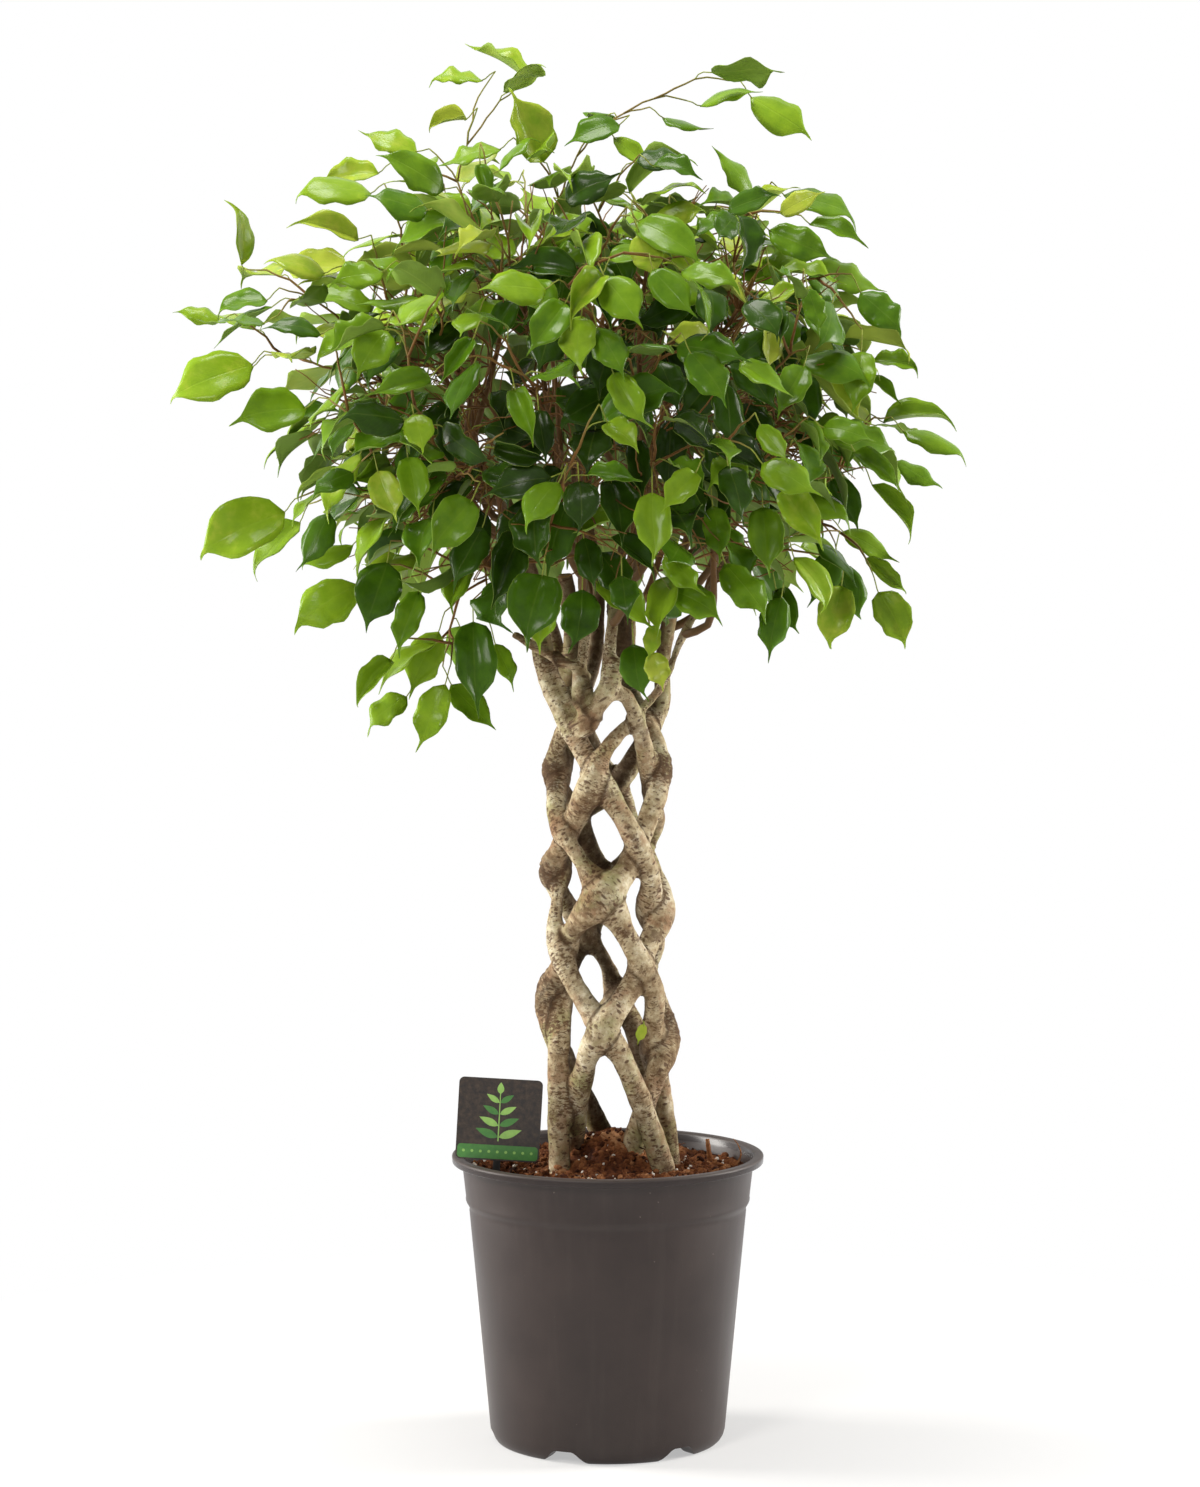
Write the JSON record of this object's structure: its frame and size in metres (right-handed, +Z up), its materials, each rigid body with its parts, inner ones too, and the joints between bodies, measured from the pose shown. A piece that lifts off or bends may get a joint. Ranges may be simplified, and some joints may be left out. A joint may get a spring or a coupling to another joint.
{
  "type": "potted weeping fig",
  "caption": "Indoor weeping fig with a woven lattice trunk and a round leafy crown, growing in a plastic nursery pot with a plain plant label.",
  "frame": {"origin": "middle of the pot's underside, on the pad that the pot rests on together with its foot ring", "axes": "+Z up along the trunk; -Y is the front, with the plant label at the front left"},
  "size_m": [0.6111, 0.5229, 1.0703],
  "materials": {
    "pot_plastic": "satin",
    "soil": "matte",
    "bark": "matte",
    "foliage": "satin",
    "label_card": "satin",
    "label_stake": "satin"
  },
  "bodies": {
    "root": {"branch_01": "foliage", "branch_02": "foliage", "branch_03": "foliage", "branch_04": "foliage", "branch_05": "foliage", "branch_06": "foliage", "branch_07": "foliage", "branch_08": "foliage", "branch_09": "foliage", "branch_10": "foliage", "branch_11": "foliage", "branch_12": "foliage", "branch_13": "foliage", "branch_14": "foliage", "branch_15": "foliage", "branch_16": "foliage", "branch_17": "foliage", "branch_18": "foliage", "branch_19": "foliage", "branch_20": "foliage", "branch_21": "foliage", "branch_22": "foliage", "branch_23": "foliage", "branch_24": "foliage", "branch_25": "foliage", "branch_26": "foliage", "branch_27": "foliage", "branch_28": "foliage", "branch_29": "foliage", "branch_30": "foliage", "branch_31": "foliage", "branch_32": "foliage", "branch_33": "foliage", "label_card": "label_card", "label_stake": "label_stake", "pot": "pot_plastic", "potting_soil": "soil", "stem_1": "bark", "stem_2": "bark", "stem_3": "bark", "stem_4": "bark", "stem_5": "bark", "stem_6": "bark", "stem_7": "bark", "stem_8": "bark"}
  },
  "joints": []
}
